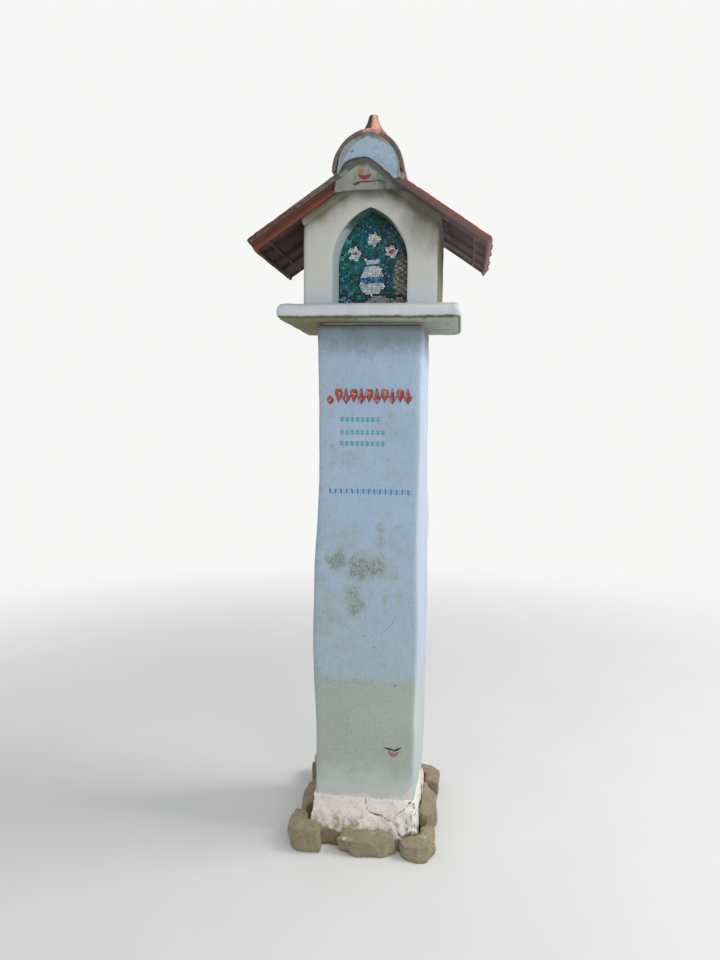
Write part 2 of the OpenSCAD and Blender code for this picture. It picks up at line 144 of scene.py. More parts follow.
tone = add("ShaderNodeMix", {0: grain, 6: paint("#dcdcd9"), 7: paint("#e3e3e0")}, out=2, data_type="RGBA")
matt = add("ShaderNodeBsdfPrincipled", {"Base Color": tone, "Roughness": 0.9})
white = add("ShaderNodeEmission", {"Color": paint("#f7f7f6"), "Strength": 1.0})
blend = add("ShaderNodeMixShader", {0: far, 1: matt, 2: white})
add("ShaderNodeOutputMaterial", {"Surface": blend})
floor_mesh.materials.append(floor_finish)


# FOOTING
# The mound of lime mortar under the pillar, thrown on by hand and brushed with limewash.
# Its corners are fluted where the wash ran down, and a crack runs down its front.
def solid_mesh(names, grow=0.0):
    """Joins copies of CAD solids into one new mesh, each a little grown so that they fuse."""
    points = []
    faces = []
    for name in names:
        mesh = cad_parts[name].data.copy()
        welded = {}
        index = []
        for vertex in mesh.vertices:
            key = tuple(round(c, 5) for c in vertex.co)
            index.append(welded.setdefault(key, len(welded)))
        start = len(points)
        points += [Vector(key) for key in welded]
        for polygon in mesh.polygons:
            ring = [start + index[i] for i in polygon.vertices]
            if len(set(ring)) == len(ring):
                faces.append(ring)
        bpy.data.meshes.remove(mesh)
    joined = bpy.data.meshes.new("_".join(names))
    joined.from_pydata(points, [], faces)
    if grow:
        moved = points_of(joined) + normals_of(joined) * grow
        joined.vertices.foreach_set("co", moved.ravel())
    return joined


def points_of(mesh):
    """Gives a mesh's points as an array, one row a point."""
    flat = np.empty(len(mesh.vertices) * 3)
    mesh.vertices.foreach_get("co", flat)
    return flat.reshape(-1, 3)


def normals_of(mesh):
    """Gives the direction in which the surface faces at each point."""
    flat = np.empty(len(mesh.vertices) * 3)
    mesh.vertex_normals.foreach_get("vector", flat)
    return flat.reshape(-1, 3)


def skin(name, mesh, voxel, rounds):
    """Turns a closed mesh into a new piece with an even skin of small faces, worn round. Gives
    the piece, its points and the directions in which it faces there."""
    piece = bpy.data.objects.new(name, mesh)
    scene.collection.objects.link(piece)
    even = piece.modifiers.new("even", "REMESH")
    even.mode = "VOXEL"
    even.voxel_size = voxel
    if rounds:
        worn = piece.modifiers.new("worn", "SMOOTH")
        worn.iterations = rounds
    graph = bpy.context.evaluated_depsgraph_get()
    made = bpy.data.meshes.new_from_object(piece.evaluated_get(graph))
    piece.modifiers.clear()
    piece.data = made
    made.name = name
    made.materials.clear()
    made.shade_smooth()
    return piece, points_of(made), normals_of(made)


def lumps(points, size, seed):
    """Smooth random heights from -1 to 1, about size metres from one lump to the next."""
    lattice = np.random.default_rng(seed).uniform(-1, 1, (32, 32, 32))
    place = points / size
    cell = np.floor(place).astype(int)
    part = place - cell
    part = part * part * (3 - 2 * part)
    total = np.zeros(len(points))
    for corner in np.ndindex(2, 2, 2):
        weight = np.prod(np.where(corner, part, 1 - part), axis=1)
        near = (cell + corner) % 32
        total += weight * lattice[near[:, 0], near[:, 1], near[:, 2]]
    return total


def reshape(piece, points, lowest=None):
    """Gives a piece its new points, none of them below the lowest height."""
    if lowest is not None:
        points[:, 2] = np.maximum(points[:, 2], lowest)
    piece.data.vertices.foreach_set("co", points.ravel())
    piece.data.update()


def mark(piece, name, values):
    """Keeps one number a point on a piece, from 0 to 1, for its finish to use."""
    kept = piece.data.attributes.new(name, "FLOAT", "POINT")
    kept.data.foreach_set("value", np.clip(values, 0, 1).astype(np.float32))


def step(values, low, high):
    """Rises smoothly from 0 at low to 1 at high."""
    part = np.clip((values - low) / (high - low), 0, 1)
    return part * part * (3 - 2 * part)


def line_distance(points, path):
    """Distance from each point to a path in the plane of the front, given as x, z pairs."""
    flat = points[:, [0, 2]]
    nearest = np.full(len(points), 9.0)
    for start, end in zip(path[:-1], path[1:]):
        start = np.array(start)
        along = np.array(end) - start
        part = np.clip((flat - start) @ along / (along @ along), 0, 1)
        gap = np.linalg.norm(flat - start - part[:, None] * along, axis=1)
        nearest = np.minimum(nearest, gap)
    return nearest


footing, points, normals = skin("limewashed_mound", solid_mesh(["footing"]), 0.0045, 3)
x, y, z = points.T
flutes = lumps(points * (1, 1, 0.12), 0.013, 3)
rough = 0.006 * lumps(points, 0.055, 1) + 0.0028 * lumps(points, 0.02, 2) + 0.0012 * lumps(points, 0.009, 9)
corner = step(np.abs(x) + np.abs(y), 0.27, 0.33)
dripped = corner * step(x, 0.09, 0.13) * step(-y, 0.1, 0.14)
rough += (0.003 + 0.006 * dripped) * corner * flutes - 0.004
crack = [(0.004, 0.128), (0.014, 0.099), (0.094, 0.078), (0.13, 0.03), (0.15, 0.0)]
branch = [(0.094, 0.078), (0.125, 0.11), (0.148, 0.13)]
torn = points + np.stack([lumps(points, 0.014, seed) for seed in (97, 98, 99)], axis=1) * 0.005
gap = np.minimum(line_distance(torn, crack), line_distance(torn, branch))
front = step(-y, 0.1, 0.16)
cut = 0.6 * np.exp(-((gap / 0.004) ** 2)) * front
# The flat top is buried under the pillar, apart from mortar smeared up against its sides.
pillar_side = 0.152
buried = step(z, 0.122, 0.13)
smeared = step(np.maximum(np.abs(x), np.abs(y)) - pillar_side, 0.0, 0.006) * buried
smeared *= 0.007 + 0.007 * lumps(points, 0.035, 10)
points = points + normals * (rough * (1 - buried) - 0.005 * cut)[:, None]
points[:, 2] += smeared
reshape(footing, points, 0.0)
z = points[:, 2]
mark(footing, "crack", 0.85 * np.exp(-((gap / 0.0026) ** 2)) * front)
mark(footing, "low", 1 - step(z + 0.02 * lumps(points, 0.05, 4), 0.005, 0.06))
mark(footing, "dripped", dripped)
mark(footing, "bare", 0.4 - 0.17 * step(z + 0.02 * lumps(points, 0.05, 11), 0.05, 0.11))


def open_finish(name, size, detail=5.0, roughness=0.5):
    """Starts a finish. Gives it, the function that adds nodes to it, the piece's own coordinates,
    and soft clouds about size metres apart."""
    finish = bpy.data.materials.new(name)
    add = nodes_of(finish)
    place = add("ShaderNodeTexCoord", out="Object")
    sockets = {"Vector": place, "Scale": 1 / size, "Detail": detail, "Roughness": roughness}
    return finish, add, place, add("ShaderNodeTexNoise", sockets)


def broken(add, place, amount, grain, low=0.8, high=1.05):
    """Breaks a soft mask into patches with ragged edges, about grain metres apart."""
    noise = add("ShaderNodeTexNoise", {"Vector": place, "Scale": 1 / grain, "Detail": 5.0, "Roughness": 0.65})
    lifted = add("ShaderNodeMath", {0: noise, 1: amount}, operation="ADD")
    ends = {"Value": lifted, "From Min": low, "From Max": high}
    return add("ShaderNodeMapRange", ends, interpolation_type="SMOOTHSTEP")


def over(add, under, colour, where, place=None, grain=0.0, low=0.8, high=1.05, share=1.0):
    """Lays a colour over another. where is the name of a mark on the piece, a mask or a plain
    amount, and a grain breaks it into ragged patches. Colours are hex values or sockets."""
    mask = where
    if isinstance(where, str):
        mask = add("ShaderNodeAttribute", out="Fac", attribute_name=where)
    if grain:
        mask = broken(add, place, mask, grain, low, high)
    if share < 1:
        mask = add("ShaderNodeMath", {0: mask, 1: share}, operation="MULTIPLY")
    tones = [paint(tone) if isinstance(tone, str) else tone for tone in (under, colour)]
    return add("ShaderNodeMix", {0: mask, 6: tones[0], 7: tones[1]}, out=2, data_type="RGBA")


def close_finish(add, colour, roughness, height, depth, level=0.3):
    """Ends a finish: the colour and the relief go into one shader. Depth is in metres."""
    relief = add("ShaderNodeBump", {"Height": height, "Strength": 1.0, "Distance": depth})
    sockets = {"Base Color": colour, "Roughness": roughness, "Specular IOR Level": level, "Normal": relief}
    surface = add("ShaderNodeBsdfPrincipled", sockets)
    add("ShaderNodeOutputMaterial", {"Surface": surface})


def grainy_end(add, place, colour, roughness, size, depth, detail=4.0, harshness=0.7, level=0.3):
    """Ends a finish with a relief of grains, about size metres from one to the next."""
    sockets = {"Vector": place, "Scale": 1 / size, "Detail": detail, "Roughness": harshness}
    close_finish(add, colour, roughness, add("ShaderNodeTexNoise", sockets), depth, level)


# Brushed limewash over coarse mortar: chalky, quite matt, warm white with pinkish mortar
# showing where the wash has flaked, dark in the crack. Sand grains are about 3 mm.
mound_finish, add, place, clouds = open_finish("limewash_brushed_on_coarse_mortar", 0.06)
wash = over(add, "#e6ddd2", "#f7f4ee", clouds)
wash = over(add, wash, "#bba28e", "bare", place, 0.022)
wash = over(add, wash, "#a08a78", 0.0, place, 0.0045, 0.58, 0.66)
wash = over(add, wash, "#eceae5", "dripped", place, 0.012, 0.7, 1.5)
downward = add("ShaderNodeMapping", {"Vector": place, "Scale": (1.0, 1.0, 0.12)})
wash = over(add, wash, "#8f8b83", "dripped", downward, 0.007, 1.5, 1.58)
wash = over(add, wash, "#8a7c64", "low", place, 0.03, 0.75, 1.15)
wash = over(add, wash, "#70665a", "crack", place, 0.006, 0.95, 1.25)
grainy_end(add, place, wash, 0.93, 0.003, 0.0016)
footing.data.materials.append(mound_finish)
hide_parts("footing")
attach(footing, "root")

# FOOT STONES
# Brown fieldstones set in a ring against the mound, split and weathered round at the edges,
# and splashed with limewash from above. Their beds, flecks and moss give them several tones.
stone_finish, add, place, beds = open_finish("brown_fieldstone_splashed_with_limewash", 0.05, 6.0, 0.7)
tone = over(add, "#786e57", "#bbaf8a", beds)
tone = over(add, tone, "#8f8577", "layer")
tone = over(add, tone, "#82745f", 0.36, place, 0.006)
tone = over(add, tone, "#7b7a55", 0.28, place, 0.03)
tone = over(add, tone, "#cfc6b6", "upper", place, 0.03, 0.95, 1.15)
grainy_end(add, place, tone, 0.88, 0.004, 0.0014, 5.0)
stone_nodes = [name for name in sorted(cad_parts) if name.startswith("foot_stone")]
for seed, name in enumerate(stone_nodes):
    stone, points, normals = skin(name.replace("foot_stone", "fieldstone"), solid_mesh([name]), 0.004, 14)
    rough = 0.007 * lumps(points, 0.045, 20 + seed) + 0.003 * lumps(points, 0.018, 40 + seed) - 0.001
    rough += 0.001 * lumps(points, 0.008, 60 + seed)
    top = points[:, 2].max()
    reshape(stone, points + normals * rough[:, None], 0.0)
    mark(stone, "layer", 0.3 + 0.5 * lumps(points + seed, 0.07, 80 + seed))
    mark(stone, "upper", 0.4 * step(points[:, 2], 0.3 * top, top) * step(normals[:, 2], -0.2, 0.8))
    stone.data.materials.append(stone_finish)
    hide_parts(name)
    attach(stone, "root")

# PILLAR
# A brick pillar one brick thick, rendered by hand and limewashed pale blue. Its edges wander
# by a few millimetres, it is grey-green with damp below knee height, and rain has stained it.
pillar, points, normals = skin("rendered_pillar", solid_mesh(["pillar"]), 0.006, 2)
height = points[:, 2]
foot_z = 0.13
level_step = 0.02
# Each upright edge runs through these places, height and x. The back left one is a guess,
# and the others follow the real pillar.
edge_runs = {
    "front_left": [(0.13, -0.157), (0.367, -0.157), (0.507, -0.167), (0.663, -0.172), (0.883, -0.170),
                   (1.019, -0.162), (1.144, -0.155), (1.39, -0.158), (1.587, -0.165), (1.617, -0.167)],
    "front_right": [(0.13, 0.159), (0.389, 0.159), (0.68, 0.165), (0.896, 0.159), (1.182, 0.160),
                    (1.4, 0.159), (1.542, 0.158), (1.617, 0.157)],
    "back_right": [(0.13, 0.168), (0.256, 0.174), (0.587, 0.176), (0.834, 0.174), (1.003, 0.177),
                   (1.125, 0.169), (1.401, 0.163), (1.617, 0.164)],
    "back_left": [(0.13, -0.166), (0.587, -0.168), (0.9, -0.162), (1.25, -0.158), (1.617, -0.161)],
}
edge_x = {
    name: np.interp(height, [z for z, x in run], [x for z, x in run])
    for name, run in edge_runs.items()
}
levels = np.arange(foot_z, 1.62, level_step)
level_of = np.clip(((height - foot_z) / level_step).astype(int), 0, len(levels) - 1)
left_now = np.full(len(levels), 9.0)
right_now = np.full(len(levels), -9.0)
np.minimum.at(left_now, level_of, points[:, 0])
np.maximum.at(right_now, level_of, points[:, 0])
left_now = np.interp(height, levels + level_step / 2, left_now)
right_now = np.interp(height, levels + level_step / 2, right_now)
across = np.clip((points[:, 0] - left_now) / (right_now - left_now), 0, 1)
back = np.clip((points[:, 1] + 0.16) / 0.32, 0, 1)
left_x = edge_x["front_left"] * (1 - back) + edge_x["back_left"] * back
right_x = edge_x["front_right"] * (1 - back) + edge_x["back_right"] * back
points[:, 0] += (left_x - left_now) * (1 - across) + (right_x - right_now) * across
ends = step(height, foot_z, 0.15) * (1 - step(height, 1.592, 1.614))
uneven = 0.0016 * lumps(points, 0.15, 5) + 0.0009 * lumps(points, 0.055, 6) + 0.0003 * lumps(points, 0.018, 7)
flat_side = np.abs(normals[:, 2]) < 0.5
points = points + normals * ((uneven * ends * flat_side)[:, None])
points[:, 2] -= 0.008 * (1 - step(height, foot_z, 0.142))
reshape(pillar, points)


def spot(points, centre, radii, seed):
    """A soft spot on the front, 1 in its middle and 0 outside, with a wandering edge."""
    gap = np.sqrt(((points[:, 0] - centre[0]) / radii[0]) ** 2 + ((points[:, 2] - centre[1]) / radii[1]) ** 2)
    gap += 0.3 * lumps(points, 0.04, seed) + 0.15 * lumps(points, 0.016, seed + 1)
    return 1 - step(gap, 0.35, 1.4)


front = step(-points[:, 1], 0.12, 0.15)
wander = 0.012 * lumps(points, 0.05, 8)
stains = 0.0 * height
for centre, radii, seed, amount in (
    ((-0.106, 0.89), (0.05, 0.05), 11, 0.6),
    ((-0.026, 0.88), (0.055, 0.06), 26, 0.6),
    ((0.035, 0.877), (0.065, 0.04), 27, 0.58),
    ((-0.033, 0.888), (0.165, 0.07), 28, 0.46),
    ((-0.066, 0.96), (0.075, 0.06), 12, 0.42),
    ((0.039, 0.945), (0.024, 0.095), 22, 0.5),
    ((0.086, 0.941), (0.035, 0.035), 30, 0.36),
    ((-0.042, 0.755), (0.045, 0.08), 13, 0.58),
    ((-0.137, 0.722), (0.065, 0.09), 29, 0.46),
    ((-0.08, 0.62), (0.13, 0.07), 31, 0.28),
    ((-0.0975, 1.455), (0.06, 0.05), 14, 0.36),
    ((-0.14, 1.3), (0.04, 0.1), 15, 0.3),
    ((-0.095, 1.2), (0.075, 0.065), 16, 0.34),
    ((-0.041, 1.217), (0.03, 0.035), 17, 0.46),
    ((0.065, 1.295), (0.055, 0.045), 18, 0.38),
    ((0.1, 1.17), (0.05, 0.06), 19, 0.26),
    ((0.108, 0.783), (0.024, 0.03), 23, 0.42),
    ((0.057, 0.769), (0.009, 0.04), 24, 0.5),
):
    stains = np.maximum(stains, amount * spot(points, centre, radii, seed))
left_damp = 0.5 * (1 - step(points[:, 0], -0.145, -0.105)) * (0.7 + 0.5 * lumps(points, 0.12, 21))
stains = np.maximum(stains * front, left_damp)
ragged_height = height + wander
mark(pillar, "stain", stains)
mark(pillar, "damp", 1 - step(ragged_height, 0.468, 0.575))
mark(pillar, "tide", 0.52 * np.exp(-(((height + 0.6 * wander - 0.51) / 0.028) ** 2)))
mark(pillar, "foot_white", 1 - step(ragged_height, 0.14, 0.29))
right_corner = step(points[:, 0], 0.11, 0.16)
mark(pillar, "foot_mortar", 1 - step(ragged_height - 0.03 * right_corner, 0.125, 0.16))
# Dirt and painted shade under the slab darken the top of the pillar.
mark(pillar, "eaves", step(ragged_height + 0.08 * points[:, 0], 1.48, 1.615))
mark(pillar, "joint", 0.6 * step(height + 0.5 * wander, 1.59, 1.612))
mark(pillar, "aged", 0.65 - 0.65 * step(height + 4 * wander, 0.45, 1.1))
# The right side is painted paler as sunlight, and near the top a painted shadow of the slab holds it back.
upper = step(height, 1.1, 1.45)
sunny = step(normals[:, 0], 0.35 + 0.28 * upper, 0.85 + 0.1 * upper)
mark(pillar, "sunny", sunny * (1 - 0.65 * step(height + 5 * wander, 1.36, 1.52)))

# Limewash tinted pale blue, brushed over floated render: chalky and matt, cloudy, with fine
# upright brush marks, painted paler on the right side as sunlight, grey-green and speckled
# where it is damp.
limewash, add, place, clouds = open_finish("blue_limewash_on_floated_render", 0.12, 4.0, 0.55)
upright = add("ShaderNodeMapping", {"Vector": place, "Scale": (1.0, 1.0, 0.06)})
upright_grain = add("ShaderNodeMapping", {"Vector": place, "Scale": (1.0, 1.0, 0.5)})
level = add("ShaderNodeMapping", {"Vector": place, "Scale": (0.28, 0.28, 1.0)})
brush = add("ShaderNodeTexNoise", {"Vector": upright, "Scale": 1 / 0.005, "Detail": 3.0})
streak = add("ShaderNodeMapRange", {"Value": brush, "From Min": 0.4, "From Max": 0.7, "To Max": 0.4})
wash = over(add, "#9fb7d1", "#b0c4d8", clouds)
wash = over(add, wash, "#a6b7bb", "aged")
wash = over(add, wash, "#b9cada", streak)
wash = over(add, wash, "#9daaa6", 0.0, place, 0.05, 0.47, 0.75, 0.4)
wash = over(add, wash, "#9aa48e", "stain", place, 0.025, 0.58, 1.6)
wash = over(add, wash, "#6d7566", "stain", upright_grain, 0.0042, 1.02, 1.16, 0.62)
# Dirt and painted shade under the slab, at the top
wash = over(add, wash, "#7f8f98", "eaves", place, 0.03, 0.5, 1.5)
wash = over(add, wash, "#6d6e60", "joint", place, 0.012, 0.5, 1.5)
# Level scratches and upright nicks
wash = over(add, wash, "#798892", 0.0, level, 0.006, 0.62, 0.68, 0.55)
wash = over(add, wash, "#74838c", 0.0, upright_grain, 0.006, 0.63, 0.69, 0.5)
# The damp lower part, the tide marks at its edge and its dark specks
damp = add("ShaderNodeAttribute", out="Fac", attribute_name="damp")
damp_wash = over(add, "#a3afa8", "#b3bbb2", clouds)
wash = over(add, wash, damp_wash, damp, level, 0.014, 0.6, 1.4)
wash = over(add, wash, "#838d82", "tide", level, 0.004, 1.04, 1.18)
speck = broken(add, upright_grain, 0.0, 0.005, 0.5, 0.68)
speck = add("ShaderNodeMath", {0: speck, 1: damp}, operation="MULTIPLY")
wash = over(add, wash, "#6f7b70", speck, share=0.38)
wash = over(add, wash, "#c4cac6", "foot_white", place, 0.03, 0.6, 1.55)
wash = over(add, wash, "#ddd6cc", "foot_mortar", place, 0.014, 0.85, 1.2)
# The right side painted paler as sunlight, with upright bands where rain ran down
bands = add("ShaderNodeTexNoise", {"Vector": upright, "Scale": 1 / 0.016, "Detail": 3.0})
bands = add("ShaderNodeMapRange", {"Value": bands, "From Min": 0.46, "From Max": 0.64, "To Max": 0.5})
painted_sunlit_wash = over(add, "#bcc8d6", "#bec6c3", damp)
painted_sunlit_wash = over(add, painted_sunlit_wash, "#a9b7c2", bands)
wash = over(add, wash, painted_sunlit_wash, "sunny")
# The hair crack below the middle is part of a circle, as it follows one throw of render.
crack_turn = add("ShaderNodeVectorMath", {0: place, 1: (0.003, 0.0, 0.748)}, operation="SUBTRACT")
bend = add("ShaderNodeVectorMath", {0: crack_turn, 1: (1.0, 0.0, 1.0)}, operation="MULTIPLY")
radius = add("ShaderNodeVectorMath", {0: bend}, out="Value", operation="LENGTH")
ring_gap = add("ShaderNodeMath", {0: radius, 1: 0.09}, operation="SUBTRACT")
ring_gap = add("ShaderNodeMath", {0: ring_gap}, operation="ABSOLUTE")
hair = add("ShaderNodeMapRange", {"Value": ring_gap, "From Max": 0.002, "To Min": 0.7, "To Max": 0.0})
below = add("ShaderNodeSeparateXYZ", {0: bend}, out=2)
below_middle = {"Value": below, "From Min": -0.035, "From Max": -0.02, "To Min": 1.0, "To Max": 0.0}
below = add("ShaderNodeMapRange", below_middle)
forward = add("ShaderNodeSeparateXYZ", {0: place}, out=1)
forward = add("ShaderNodeMath", {0: forward, 1: -0.1}, operation="LESS_THAN")
for part in (below, forward, broken(add, place, 0.0, 0.02, 0.42, 0.6)):
    hair = add("ShaderNodeMath", {0: hair, 1: part}, operation="MULTIPLY")
wash = over(add, wash, "#6b7880", hair)
sand = add("ShaderNodeTexNoise", {"Vector": place, "Scale": 1 / 0.0022, "Detail": 3.0, "Roughness": 0.6})
relief = add("ShaderNodeMath", {0: sand, 1: brush}, operation="ADD")
close_finish(add, wash, 0.9, relief, 0.0005)
pillar.data.materials.append(limewash)
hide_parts("pillar")
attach(pillar, "root")

# PILLAR ORNAMENTS
# A raised row of hearts and sprigs in red oil paint near the top, four rows of sprigs, leaves
# and dots in thin teal and blue below it, and a small cup at the foot. All keep to the wall.
def wall_of(piece):
    """Gives the surface of a piece in the form in which a ray can find it."""
    corners = [vertex.co for vertex in piece.data.vertices]
    return BVHTree.FromPolygons(corners, [list(polygon.vertices) for polygon in piece.data.polygons])


def painted_piece(name, wall, outlines, lift, bevel, tones, worn):
    """Raises closed outlines, given as x, z pairs, by lift from the front of a wall, in old oil
    paint: a slight gloss, two tones, and a third in patches where the ground shows."""
    points = []
    faces = []
    for outline in outlines:
        ring = np.array(outline)
        middle = ring.mean(axis=0)
        count = len(ring)
        start = len(points)
        for share, rise in ((1.0, -0.0012), (1.0, lift * 0.55), (1 - bevel, lift), (0.4, lift)):
            for x, z in middle + (ring - middle) * share:
                hit = wall.ray_cast(Vector((x, -1.0, z)), Vector((0, 1, 0)))[0]
                points.append((x, hit.y - rise, z))
        for level in (0, 1, 2):
            low = start + level * count
            for i in range(count):
                j = (i + 1) % count
                faces.append((low + i, low + j, low + count + j, low + count + i))
        for level, flip in ((0, True), (3, False)):
            hub = len(points)
            rows = points[start + level * count:start + (level + 1) * count]
            points.append(tuple(np.mean(rows, axis=0)))
            for i in range(count):
                j = (i + 1) % count
                a = start + level * count + i
                b = start + level * count + j
                faces.append((b, a, hub) if flip else (a, b, hub))
    mesh = bpy.data.meshes.new(name)
    mesh.from_pydata(points, [], faces)
    piece = bpy.data.objects.new(name, mesh)
    scene.collection.objects.link(piece)
    oil_paint, add, place, strokes = open_finish("worn_oil_paint_" + name, 0.012, 4.0)
    tone = over(add, tones[0], tones[1], strokes)
    tone = over(add, tone, tones[2], worn, place, 0.007)
    grainy_end(add, place, tone, 0.55, 0.0012, 0.0003, 2.0, 0.5, 0.4)
    piece.data.materials.append(oil_paint)
    return piece


def heart(x, z, width, tall):
    """The outline of a heart with its point down."""
    turns = np.linspace(0, 2 * math.pi, 28, endpoint=False)
    across = 16 * np.sin(turns) ** 3 / 32
    up = (13 * np.cos(turns) - 5 * np.cos(2 * turns) - 2 * np.cos(3 * turns) - np.cos(4 * turns) + 2.5) / 29
    return [(x + a * width, z + u * tall) for a, u in zip(across, up)][::-1]


def leaf(x, z, length, width, lean):
    """A pointed leaf, its stalk end down when lean is 0."""
    side = np.linspace(-1, 1, 9)
    half = (1 - side ** 2) * width / 2
    rim = [(h, s * length / 2) for h, s in zip(half, side)]
    rim += [(-h, s * length / 2) for h, s in zip(half[-2:0:-1], side[-2:0:-1])]
    c, s = math.cos(lean), math.sin(lean)
    return [(x + a * c + b * s, z - a * s + b * c) for a, b in rim]


def dot(x, z, size):
    """A small round dab of paint."""
    turns = np.linspace(0, 2 * math.pi, 10, endpoint=False)
    return [(x + size / 2 * math.cos(t), z + size / 2 * math.sin(t)) for t in turns]


red_row = [leaf(-0.121, 1.3925, 0.025, 0.016, 0)]
for number in range(10):
    x = -0.096 + number * 0.0236
    if number % 2:
        red_row.append(leaf(x, 1.404, 0.047, 0.008, 0))
        red_row.append(leaf(x - 0.0062, 1.395, 0.024, 0.0058, -0.45))
        red_row.append(leaf(x + 0.0062, 1.395, 0.024, 0.0058, 0.45))
    else:
        red_row.append(heart(x, 1.405, 0.0185, 0.040))
teal_rows = []
for row_z, first, count in ((1.332, -0.083, 8), (1.293, -0.083, 9), (1.2585, -0.083, 9)):
    for number in range(count):
        x = first + number * 0.0158
        teal_rows.append(leaf(x, row_z, 0.021, 0.003, 0.06 if number % 2 else -0.08))
        for rise in (-0.0035, 0.0035):
            teal_rows.append(leaf(x - 0.0034, row_z + rise, 0.0085, 0.0034, -0.7))
            teal_rows.append(leaf(x + 0.0034, row_z + rise, 0.0085, 0.0034, 0.7))
teal_rows.append(leaf(-0.112, 1.25, 0.012, 0.004, 0.4))
blue_row = []
for number in range(15):
    x = -0.118 + number * 0.0172
    blue_row.append(leaf(x, 1.112, 0.0205, 0.0072, 0.12 if number % 2 else -0.15))
    blue_row.append(dot(x + 0.0086, 1.1165, 0.0042))
    blue_row.append(dot(x + 0.0086, 1.107, 0.0034))


def cup(x, z, width, tall):
    """A shallow cup: a half round below and a softly waved rim."""
    turns = np.linspace(math.pi, 2 * math.pi, 12)
    rim = [(x + width * a, z + tall * u) for a, u in ((0.3, -0.16), (0.0, -0.34), (-0.3, -0.16))]
    return [(x + width / 2 * math.cos(t), z + tall * math.sin(t)) for t in turns] + rim


# A painted shadow of the raised red row: each outline a little larger, moved right and down.
red_cast_shadow_outlines = []
for outline in red_row:
    ring = np.array(outline)
    middle = ring.mean(axis=0)
    red_cast_shadow_outlines.append([tuple(p) for p in middle + (0.0018, -0.0022) + (ring - middle) * (1.25, 1.08)])
foot_cup = [cup(0.0915, 0.2935, 0.034, 0.0195)]
foot_leaves = [leaf(0.0785, 0.2995, 0.036, 0.0068, 1.76), leaf(0.1035, 0.2995, 0.031, 0.0068, 1.08)]

# The red is strong, worn pale in patches, with a painted shadow of its relief round it. The teal
# and the blue are thin and half washed away.
front_face = wall_of(pillar)
for name, outlines, lift, bevel, tones, worn in (
    ("red_row_shade", red_cast_shadow_outlines, 0.001, 0.1, ("#5c3f3c", "#7c5550", "#8c9096"), 0.3),
    ("red_heart_row", red_row, 0.005, 0.22, ("#a02426", "#b8453a", "#d9c2bd"), 0.33),
    ("teal_leaf_rows", teal_rows, 0.0006, 0.2, ("#2f94ac", "#55a6bd", "#93b3c6"), 0.3),
    ("blue_leaf_row", blue_row, 0.0006, 0.2, ("#3176b8", "#5a98c8", "#93b3cc"), 0.28),
    ("foot_cup", foot_cup, 0.0012, 0.25, ("#9f6267", "#ad7a7c", "#b3a3a2"), 0.26),
    ("foot_leaves", foot_leaves, 0.0012, 0.25, ("#2b3032", "#3b4446", "#6c7577"), 0.2),
):
    piece = painted_piece(name, front_face, outlines, lift, bevel, tones, worn)
    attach(piece, "root")

# SLAB BED
# The thin joint of rough lime and sand mortar on top of the pillar. The slab was laid in it
# while it was soft, which pressed it out unevenly at its edge.
mortar, add, place, clouds = open_finish("rough_lime_and_sand_bedding_mortar", 0.03)
grout = over(add, "#918d7f", "#aba799", clouds)
grout = over(add, grout, "#625c4d", 0.15, place, 0.012)
grainy_end(add, place, grout, 0.95, 0.0025, 0.0014)
bed, points, normals = skin("slab_mortar_joint", solid_mesh(["slab_bed"]), 0.004, 1)
sideways = normals * (1, 1, 0)
reshape(bed, points + sideways * (0.0022 * lumps(points, 0.02, 31) - 0.001)[:, None])
bed.data.materials.append(mortar)
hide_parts("slab_bed")
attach(bed, "root")

# SLAB
# A slab cast in one piece of lime concrete and limewashed. Its corners are worn round, the
# front right one is chipped, and dirt has gathered along its lower edge and underneath.
slab, points, normals = skin("cast_slab", solid_mesh(["slab"]), 0.005, 2)
x, y, z = points.T
uneven = 0.0009 * lumps(points, 0.08, 33) + 0.0006 * lumps(points, 0.022, 34) - 0.0004
edge_wear = (np.abs(x + 0.004) > 0.266) | (np.abs(y) > 0.215)
uneven -= 0.0022 * edge_wear * step(lumps(points, 0.03, 35), 0.15, 0.6)
chip = np.linalg.norm(points - np.array((0.276, -0.228, 1.678)), axis=1)
uneven -= 0.007 * (1 - step(chip, 0.012, 0.03))
reshape(slab, points + normals * uneven[:, None])
mark(slab, "underside", step(-normals[:, 2], 0.3, 0.8))
low_edge = 1 - step(z + 0.0015 * lumps(points, 0.02, 36), 1.6295, 1.641)
mark(slab, "low_edge", low_edge * (np.abs(normals[:, 2]) < 0.8))
mark(slab, "top", step(normals[:, 2], 0.4, 0.9))
mark(slab, "left", step(-x, -0.12, 0.22))
slab_wash, add, place, clouds = open_finish("limewash_on_cast_lime_concrete", 0.07)
wash = over(add, "#c6ccd0", "#d9dee1", clouds)
wash = over(add, wash, "#b9bdbb", "top", place, 0.03, 0.9, 1.7)
algae = over(add, "#90958a", "#b7bcb2", clouds)
algae = over(add, algae, "#898766", "left", place, 0.04, 0.6, 1.3)
algae = over(add, algae, "#665c47", 0.0, place, 0.018, 0.56, 0.66)
wash = over(add, wash, algae, "underside")
wash = over(add, wash, "#66644f", "low_edge", place, 0.012, 0.7, 1.25)
wash = over(add, wash, "#8d8f86", 0.0, place, 0.008, 0.66, 0.72, 0.6)
grainy_end(add, place, wash, 0.9, 0.0028, 0.0008, 4.0, 0.65)
slab.data.materials.append(slab_wash)
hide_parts("slab")
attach(slab, "root")

